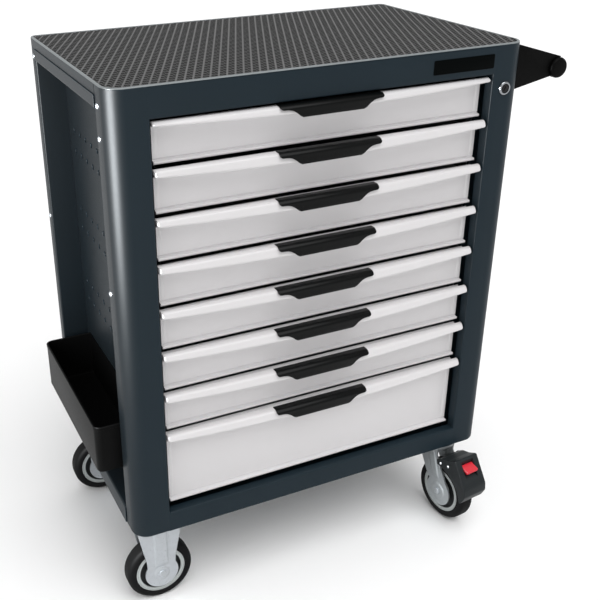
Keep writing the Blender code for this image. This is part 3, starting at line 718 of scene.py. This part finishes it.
def drawer_front(low, high, shorter):
    """Pressed front: bottom bead, flat face with a raised band at each side, and the bowed pull rail."""
    height = high.z - low.z
    face_half = high.x
    face_y = high.y - SHEET
    inner_reach = face_y - low.y - NOSE_BOW
    steps_in = (0.0, 0.0003, 0.0010, 0.0022, 0.0045, SIDE_BAND, SIDE_BAND + 0.0009, 0.0100)
    near_end = [face_half - d for d in steps_in]
    spread = 44
    middle_half = near_end[-1] - 0.004
    middle = [middle_half - 2 * middle_half * i / spread for i in range(spread + 1)]
    stations = [-x for x in near_end] + middle[::-1] + near_end[::-1]
    setbacks = [0, 0.0016, 0.0012, 0.0005, 0.0004, 0.0005, 0.0012, 0.0012, 0.0014, 0.0016, 0.0018, 0.0024,
                0.0015, 0.0010, 0.0010, 0]
    rings = []
    for x in stations:
        bulge = 1 - (x / face_half) ** 2
        left_over = max(0.0, ROLL - (face_half - abs(x)))
        tuck = 1 - (1 - (left_over / ROLL) ** 2) ** 0.5
        full = inner_reach + NOSE_BOW * bulge
        shrink = 1 - 0.22 * tuck
        nose, rail_back = full * shrink, RAIL_BACK * shrink
        top = height - 0.0010 * tuck
        lip = height - LIP_DROP - LIP_BOW * bulge + shorter
        band = 0.0009 if abs(x) > face_half - SIDE_BAND - 0.0001 else 0.0
        section = [
            (-SHEET, 0.0),
            (0.0062, 0.0),
            (0.0066, 0.0042),
            (band, 0.0050),
            (band - 0.0014, 0.0060),
            (band, 0.0070),
            (band, lip - 0.0030),
            (nose - 0.0030, lip),
            (nose - 0.0006, lip + 0.0012),
            (nose, lip + 0.0034),
            (nose - 0.0024, top - 0.0022),
            (nose - 0.0060 * shrink, top),
            (rail_back, top),
            (rail_back - 0.0030 * shrink, top - 0.0032),
            (0.0040 * shrink, height - 0.0090 + 0.5 * shorter),
            (-SHEET, height - 0.0050),
        ]
        ring = []
        for out, up in rounded(section, setbacks, 3):
            on_rail = ramp(out, 0.0010, 0.0060) if up > lip - 0.0035 else 0.0
            ring.append((x * (1 + on_rail * OVERHANG / face_half), face_y - out, low.z + up))
        rings.append(ring)
    return loft(rings)


def drawer_grip(low, high, lift):
    """Plastic grip clipped over the rail's nose, with a deeper finger lip between two shoulders."""
    top = high.z - 0.0018
    nose = low.y + 0.0030
    foot = top + lift
    middle, reach = (low.x + high.x) / 2, (high.x - low.x) / 2
    profile = rounded(
        [
            (nose + 0.0150, top + 0.0004),
            (nose + 0.0150, top + 0.0016),
            (nose + 0.0045, top + 0.0018),
            (nose + 0.0002, top - 0.0006),
            (nose - 0.0024, top - 0.0040),
            (nose - 0.0030, foot - 0.0160),
            (nose - 0.0026, foot - 0.0193),
            (nose - 0.0008, foot - 0.0190),
            (nose - 0.0006, foot - 0.0140),
            (nose + 0.0016, top - 0.0024),
            (nose + 0.0056, top + 0.0004),
        ],
        [0.0003, 0.0006, 0.0022, 0.0022, 0.0026, 0.0012, 0.0008, 0.0005, 0.0010, 0.0012, 0.0008],
        4,
    )
    body = prism(profile, low.x, high.x, "yz")
    half = [
        (0.0, foot - 0.0250),
        (0.0500, foot - 0.0250),
        (0.0500, foot - 0.0190),
        (0.0545, foot - 0.0172),
        (0.0580, foot - 0.0140),
        (0.0625, foot - 0.0106),
        (0.0675, foot - 0.0078),
        (0.0740, foot - 0.0064),
        (reach - 0.0030, foot - 0.0060),
        (reach - 0.0002, foot - 0.0040),
        (reach, top + 0.0030),
    ]
    outline = [(middle + x, z) for x, z in half] + [(middle - x, z) for x, z in reversed(half[1:])]
    window = prism(rounded(outline, 0.003, 5), nose - 0.05, nose + 0.05, "xz")
    return softened(combined(body, "INTERSECT", window), 0.0006, 2, 40)


def drawer_tub(low, high):
    """Folded drawer box with rolled top edges."""
    side = high.x - RUNNER
    box_low, box_high = (-side, low.y), (side, high.y)
    wall, hem = 0.0014, 0.0030

    def plan(inset):
        return box_plan(box_low, box_high, inset, 0.0022)

    levels = [
        (0.0012, low.z),
        (0.0, low.z + 0.0012),
        (0.0, high.z - 0.0006),
        (0.0006, high.z),
        (hem - 0.0006, high.z),
        (hem, high.z - 0.0006),
        (hem, high.z - 0.0085),
        (wall, high.z - 0.0090),
        (wall, low.z + wall + 0.0012),
        (wall + 0.0012, low.z + wall),
    ]
    return stack(levels, plan)


def drawer_runners(low, high):
    """Drawer members of the ball-bearing slides, one on each side of the box."""
    inner, outer = high.x - RUNNER, high.x
    web = inner + 0.0014
    half, flange = 0.0070, 0.0035
    middle = low.z + 0.023
    foot, top = middle - half, middle + half
    section = [(inner, foot), (outer, foot), (outer, foot + flange), (web, foot + flange)]
    section += [(web, top - flange), (outer, top - flange), (outer, top), (inner, top)]
    section = rounded(section, 0.0007, 2)
    members = []
    for side in (1, -1):
        members.append(prism([(side * u, v) for u, v in section], low.y + 0.006, high.y - 0.006, "xz"))
    return joined(*members)


def make_drawers():
    """Each drawer's front, its grip, its box and the slide members that ride with it."""
    for number in range(1, DRAWERS + 1):
        name = f"drawer_{number}"
        shorter = FIRST_SHORTER if number == 1 else 0.0
        front = drawer_front(*extent(name + "_front"), shorter)
        show(name + "_face", front, "drawer_paint", name, [name + "_front"], edge=0.0005, angle=48)
        grip = drawer_grip(*extent(name + "_grip"), 0.4 * shorter)
        show(name + "_pull", grip, "black_plastic", name, [name + "_grip"], face="grip_gloss")
        tub = drawer_tub(*extent(name + "_box"))
        show(name + "_tub", tub, "drawer_paint", name, [name + "_box"], face="box_paint", angle=40)
        show(name + "_runners", drawer_runners(*extent(name + "_box")), "steel", name)


# ---- casters ----
CHEEK_GAP = 0.0185  # from the wheel's middle to the inside of a cheek
AXLE_HALF = CHEEK_GAP + 0.003 + 0.004
PLATE = 0.003  # thickness of a caster's top plate


def pressed_plate(heights, ends, relief, thickness, columns=36):
    """A pressed plate standing on edge: ends(v) are its sides at height v, relief(u, v) how far it bulges."""
    bm = bmesh.new()
    skins = []
    for depth in (thickness, 0.0):
        skin = []
        for v in heights:
            left, right = ends(v)
            us = [left + (right - left) * i / columns for i in range(columns + 1)]
            skin.append([bm.verts.new((u, relief(u, v) + depth, v)) for u in us])
        for row, following in zip(skin, skin[1:]):
            for i in range(columns):
                bm.faces.new((row[i], row[i + 1], following[i + 1], following[i]))
        skins.append(skin)
    front, back = skins
    loop = [(0, i) for i in range(columns + 1)]
    loop += [(r, columns) for r in range(1, len(heights))]
    loop += [(len(heights) - 1, i) for i in range(columns - 1, -1, -1)]
    loop += [(r, 0) for r in range(len(heights) - 2, 0, -1)]
    for (r, i), (s, j) in zip(loop, loop[1:] + loop[:1]):
        bm.faces.new((front[r][i], front[s][j], back[s][j], back[r][i]))
    return finished(bm)


def cheek_plate(axle, top_half, top, waist, drop, relief, end=0.0300, slack=0.0262, thickness=0.0028):
    """A cheek that narrows from the plate to a waist and ends round about the axle."""
    middle = axle * waist / -drop
    start = radians(32)
    knees = [
        (top, -top_half, top_half),
        (top - 0.016, -top_half + 0.002, top_half - 0.002),
        (waist, middle - slack, middle + slack),
        (-drop + end * sin(start), axle - end * cos(start), axle + end * cos(start)),
    ]

    def ends(v):
        if v <= knees[-1][0]:
            half = (max(0.0, end * end - (v + drop) ** 2)) ** 0.5
            return axle - half, axle + half
        for (v0, l0, r0), (v1, l1, r1) in zip(knees, knees[1:]):
            if v >= v1:
                t = (v0 - v) / (v0 - v1)
                return l0 + (l1 - l0) * t, r0 + (r1 - r0) * t
        return knees[-1][1:]

    straight = 26
    heights = [top + (knees[-1][0] - top) * i / straight for i in range(straight + 1)]
    heights += [-drop + end * sin(start - (start + radians(86)) * i / 24) for i in range(1, 25)]
    return pressed_plate(heights, ends, relief, thickness)


def cheek_pair(x, y, **shape):
    """Two cheeks that face each other across the wheel's plane."""
    cheeks = []
    for side in (1, -1):
        cheek = cheek_plate(**shape)
        place = Matrix.Translation((x, y + side * CHEEK_GAP, 0))
        cheek.transform(place @ Matrix.Scale(side, 4, (0, 1, 0)))
        if side < 0:
            cheek.flip_normals()
        cheeks.append(cheek)
    return cheeks


def hexagon(across, low, high):
    """A hexagonal head with a domed top."""
    outline = arc((0, 0), across / 3**0.5, 0, 300, 5)
    return softened(prism(outline, low, high, "xy"), 0.0007, 2)


def axle_bolt(half):
    """The axle with a hexagonal head at one end and a nut at the other, along Y."""
    pieces = []
    for side in (1, -1):
        head = hexagon(0.0120, half - 0.0038, half - 0.0002)
        washer = disc(0.0082, half - 0.0046, half - 0.0036, 0.0003, 32)
        for mesh in (head, washer):
            mesh.transform(Matrix.Rotation(-side * pi / 2, 4, "X"))
            pieces.append(mesh)
    shaft = disc(0.0045, -half + 0.002, half - 0.002, 0.0005, 24, (0, 0, 0), (0, 1, 0))
    return joined(shaft, *pieces)


def top_plate(low, high):
    return prism(rounded(rectangle(low, high), 0.008, 5), high.z - PLATE, high.z, "xy")


def plate_bolts(low, high):
    """Hexagonal bolt heads under the four corners of a caster's top plate."""
    inset_x, inset_y = 0.0095, 0.0065
    heads = []
    for x in (low.x + inset_x, high.x - inset_x):
        for y in (low.y + inset_y, high.y - inset_y):
            head = hexagon(0.0100, -0.0040, 0.0)
            head.transform(Matrix.Translation((x, y, high.z - PLATE)))
            heads.append(head)
    return joined(*heads)


def wheel_pieces(name, body):
    """Rubber tyre and the grey core that it is moulded on."""
    low, high = extent(name + "_tyre")
    centre = (low + high) / 2
    radius = (high.z - low.z) / 2
    axle = axis_of(body + "_spin") if name.split("_")[1] == "right" else Vector((0, 1, 0))
    half, core = 0.016, 0.0445
    shoulder = 0.0085
    profile = [(core, half - 0.0018), (core + 0.0012, half - 0.0003)]
    profile += [(radius - shoulder - 0.002, half)]
    profile += arc((radius - shoulder, half - shoulder), shoulder, 84, 4, 8)
    profile += [(radius, 0.004), (radius, -0.004)]
    profile += arc((radius - shoulder, -half + shoulder), shoulder, -4, -84, 8)
    profile += [(radius - shoulder - 0.002, -half), (core + 0.0012, -half + 0.0003), (core, -half + 0.0018)]
    show(name + "_tread", lathe(profile, 96, centre, axle), "tyre_rubber", body, [name + "_tyre"])
    hub, rim, web = 0.0165, 0.0146, 0.0060
    side = [(0.0055, hub), (0.0125, hub), (0.0145, hub - 0.0014), (0.0160, web + 0.0006), (0.0185, web)]
    side += [(core - 0.0100, web), (core - 0.0085, web + 0.0008), (core - 0.0072, rim - 0.0010)]
    side += [(core - 0.0062, rim), (core - 0.0034, rim), (core - 0.0030, rim - 0.0008)]
    side += [(core - 0.0022, rim - 0.0008), (core - 0.0018, rim), (core - 0.0002, rim - 0.0002)]
    mesh = lathe(side + [(r, -h) for r, h in reversed(side)], 96)
    for face in mesh.polygons:
        if 0.0165 < hypot(face.center.x, face.center.y) < core - 0.0076:
            face.material_index = 2  # the web, which lies in the shade of hub and rim
    mesh.transform(Matrix.Translation(centre) @ turned_to(axle))
    show(name + "_hub", mesh, "core_grey", body, [name + "_core"], extra=["core_shadow"])


def make_fixed_caster(place):
    """Top plate, two ribbed cheeks and the wheel between them."""
    name = f"{place}_left_caster"
    low, high = extent(name + "_bracket")
    tyre_low, tyre_high = extent(name + "_tyre")
    axle = (tyre_low + tyre_high) / 2
    drop = -axle.z

    def relief(u, v):
        channel = 1 - ramp(abs(u), 0.0102, 0.0122)
        channel *= ramp(v, -drop + 0.014, -drop + 0.022)
        cap = 1 - ramp(hypot(u, v + drop), 0.0120, 0.0138)
        return 0.0025 * max(channel, cap * 0.9)

    shape = {"axle": 0.0, "top_half": 0.040, "top": -0.0016, "waist": -0.078}
    cheeks = cheek_pair(axle.x, axle.y, drop=drop, relief=relief, **shape)
    plate = top_plate(low, high)
    bolt = axle_bolt(AXLE_HALF)
    bolt.transform(Matrix.Translation(axle))
    bolts = joined(bolt, plate_bolts(low, high))
    show(name + "_frame", joined(plate, *cheeks), "zinc", replaces=[name + "_bracket"], edge=0.0003, angle=50)
    show(name + "_bolts", bolts, "zinc")
    wheel_pieces(name, f"{place}_left_wheel")


def swivel_frame(place):
    """A swivel caster's seat, its trail and the axle's drop; its own X runs from the king pin to the axle."""
    name = f"{place}_right_caster"
    plate_low, plate_high = extent(name + "_plate")
    tyre_low, tyre_high = extent(name + "_tyre")
    pin = (plate_low + plate_high) / 2
    axle = (tyre_low + tyre_high) / 2
    ahead = Vector((axle.x - pin.x, axle.y - pin.y, 0)).normalized()
    side = Vector((0, 0, 1)).cross(ahead)
    turn = Matrix((ahead, side, Vector((0, 0, 1)))).transposed().to_4x4()
    trail = Vector((axle.x - pin.x, axle.y - pin.y)).length
    return Matrix.Translation((pin.x, pin.y, 0)) @ turn, trail, -axle.z


def brake_hood(trail, drop):
    """Hood over the trailing side of the wheel, and the slots in it that straddle the fork's cheeks."""
    clear_of_tyre = 0.063
    outline = (
        [(trail - 0.006, -0.034), (trail + 0.009, -0.0240), (trail + 0.024, -0.0200)]
        + [(trail + 0.0405, -0.0112), (trail + 0.0430, -0.0120), (trail + 0.073, -0.0590)]
        + [(trail + 0.075, -0.0740), (trail + 0.066, -0.092)]
        + arc((trail, -drop), clear_of_tyre, 12, 94, 14)
    )
    core = softened(prism(rounded(outline, 0.003, 3), -0.027, 0.027, "xz"), 0.0042, 4, 50)
    slots = []
    for side in (-1, 1):
        ends = sorted((side * (CHEEK_GAP - 0.0012), side * (CHEEK_GAP + 0.0042)))
        straddle = rectangle((-0.02, -0.120), (trail + 0.030, -0.0300))
        slots.append(prism(straddle, *ends, "xz"))
    return core, slots


def make_swivel_caster(place):
    """Top plate with its ball race, and below it the fork, the brake and the wheel, which turn together."""
    name = f"{place}_right_caster"
    seat, trail, drop = swivel_frame(place)
    low, high = extent(name + "_plate")
    swivel = f"{place}_right_swivel"
    profile = [(0, high.z - 0.002), (0.030, high.z - 0.002), (0.030, high.z - 0.0065)]
    profile += arc((0.0275, high.z - 0.0082), 0.0028, 20, -70, 4) + [(0.026, low.z), (0, low.z)]
    race = lathe(profile, 64, ((low.x + high.x) / 2, (low.y + high.y) / 2, 0))
    top = joined(top_plate(low, high), race)
    show(name + "_top", top, "zinc", replaces=[name + "_plate"], edge=0.0003, angle=45)
    show(name + "_bolts", plate_bolts(low, high), "zinc")
    make_fork(name, swivel, seat, trail, drop)
    make_hood(name, place, swivel, seat, trail, drop)
    wheel_pieces(name, f"{place}_right_wheel")


def make_fork(name, swivel, seat, trail, drop):
    """Turned head under the race and the two pressed cheeks of the fork."""
    top = extent(name + "_fork")[1].z
    profile = [(0, top), (0.024, top), (0.0325, top - 0.0012), (0.0338, top - 0.0034), (0.0332, top - 0.0060)]
    profile += [(0.0310, top - 0.0095), (0.0290, top - 0.0100), (0, top - 0.0100)]
    head = lathe(profile, 64)

    def relief(u, v):
        rib = 1 - ramp(abs(u - trail * v / -drop), 0.0072, 0.0100)
        rib *= ramp(v, -drop + 0.024, -drop + 0.036)
        boss = 1 - ramp(hypot(u - trail, v + drop), 0.0150, 0.0180)
        return 0.0014 * max(rib, boss)

    shape = {"axle": trail, "top_half": 0.027, "top": top - 0.004, "waist": -0.080}
    cheeks = cheek_pair(0, 0, drop=drop, relief=relief, **shape)
    yoke = joined(head, *cheeks)
    yoke.transform(seat)
    show(name + "_yoke", yoke, "zinc", swivel, [name + "_fork"], edge=0.0003, angle=50, face="fork_grey")
    bolt = axle_bolt(AXLE_HALF)
    bolt.transform(seat @ Matrix.Translation((trail, 0, -drop)))
    show(name + "_axle_bolt", bolt, "zinc", swivel)


def make_hood(name, place, swivel, seat, trail, drop):
    """The brake's plastic hood with its rivets, and the red button in its pocket."""
    core, slots = brake_hood(trail, drop)
    button_low, button_high = extent(name + "_brake_button")
    centre = seat.inverted() @ ((button_low + button_high) / 2)
    press = seat.to_3x3().inverted() @ axis_of(f"{place}_right_brake_press")
    at = Matrix.Translation(centre) @ turned_to(-press)
    pocket_outline = rounded(rectangle((-0.0108, -0.0143), (0.0400, 0.0143)), 0.001, 2)
    pocket = prism(pocket_outline, -0.0127, 0.04, "xy")
    pocket.transform(at)
    shell = combined(core, "DIFFERENCE", pocket, *slots)
    shell.transform(seat)
    covered = [name + "_brake_hood"]
    show(name + "_hood", shell, "black_plastic", swivel, covered, edge=0.0004, angle=42, face="hood_grey")
    outline = rounded(rectangle((-0.0100, -0.0135), (0.0100, 0.0135)), 0.0020, 4)
    button = softened(prism(outline, -0.0027, 0.0027, "xy"), 0.0010, 3, 50)
    button.transform(seat @ at)
    show(name + "_button", button, "red_plastic", f"{place}_right_brake_button", [name + "_brake_button"])
    dome = [(0, 0.0014)] + arc((0.0, -0.0026), 0.0040, 78, 40, 4) + [(0.0031, -0.0014), (0, -0.0014)]
    heads = []
    for along, up in ((0.042, -0.0375), (0.062, -0.0330)):
        for side in (-1, 1):
            heads.append(lathe(dome, 24, (along, side * 0.0268, up), (0, side, 0)))
    pin = disc(0.0013, -0.0030, 0.0028, 0.0006, 16, (0.0050, 0.0, -0.0100))
    pin.transform(at)
    rivets = joined(*heads, pin)
    rivets.transform(seat)
    show(name + "_rivets", rivets, "zinc", swivel)


def finish_cad_nodes():
    """The CAD pieces that stay: the slide racks and the lock bar, in steel with broken edges."""
    for node in ("left_slide_rack", "right_slide_rack", "lock_bar"):
        obj = frame["nodes"][node]
        obj.data.materials.clear()
        obj.data.materials.append(LOOKS["steel"][0])
        bevel_edges(obj, 0.0003, 40)


# ---- studio ----
def add_lamp(name, kind, place, aim, power):
    """A lamp that shines from its place towards the aim."""
    lamp = bpy.data.lights.new(name, kind)
    lamp.energy = power
    holder = new_object(name, lamp)
    holder.location = place
    holder.rotation_euler = (Vector(aim) - Vector(place)).to_track_quat("-Z", "Y").to_euler()
    return holder


def make_studio():
    """Pale floor, even surround, a broad soft sun, and a lamp for the highlight along the left post."""
    scene = bpy.context.scene
    scene.view_settings.view_transform = "Standard"
    bm = bmesh.new()
    bmesh.ops.create_grid(bm, x_segments=1, y_segments=1, size=30.0)
    floor_piece = new_object("floor", finished(bm))
    paper = surface("pale_floor", (0.94, 0.94, 0.94), 0.7, specular=0.1, mottle=0.005, broad=2.0, fine=60.0)
    floor_piece.data.materials.append(paper)
    world = bpy.data.worlds.new("surround")
    scene.world = world
    world.use_nodes = True
    background = world.node_tree.nodes["Background"]
    background.inputs["Color"].default_value = (1.0, 1.0, 1.0, 1.0)
    background.inputs["Strength"].default_value = 0.68
    key = add_lamp("key", "SUN", (0.1, -1.3, 3.0), (0, 0, 0.4), 1.9)
    key.data.angle = radians(50)
    strip = add_lamp("corner_strip", "AREA", (-1.00, -0.36, 0.75), (-0.37, -0.17, 0.75), 82.0)
    strip.data.shape, strip.data.size, strip.data.size_y = "RECTANGLE", 0.40, 0.7
    strip.data.color = (0.95, 0.98, 1.0)
    strip.visible_diffuse = False  # only for the highlight along the round corner post
    for lamp in (key, strip):
        lamp.visible_camera = False


def make_camera():
    """A standing viewer's camera, in front of the left corner and looking down at the chest."""
    lens = bpy.data.cameras.new("camera")
    lens.lens = 55.2
    lens.shift_x, lens.shift_y = 0.11667, -0.01667
    camera = new_object("camera", lens)
    turn = (
        Matrix.Rotation(radians(-24.02), 4, "Z")
        @ Matrix.Rotation(radians(90 - 26.13), 4, "X")
        @ Matrix.Rotation(radians(-0.76), 4, "Z")
    )
    camera.matrix_world = Matrix.Translation((-0.7164, -1.3174, 1.2047)) @ turn
    bpy.context.scene.camera = camera


make_camera()
make_studio()
make_top_tray()
make_mat()
make_posts()
make_header()
make_badge()
make_sides()
make_rear()
make_base()
make_bolts()
make_handle()
make_side_tray()
make_lock()
make_drawers()
for corner_name in ("front", "rear"):
    make_fixed_caster(corner_name)
    make_swivel_caster(corner_name)
finish_cad_nodes()
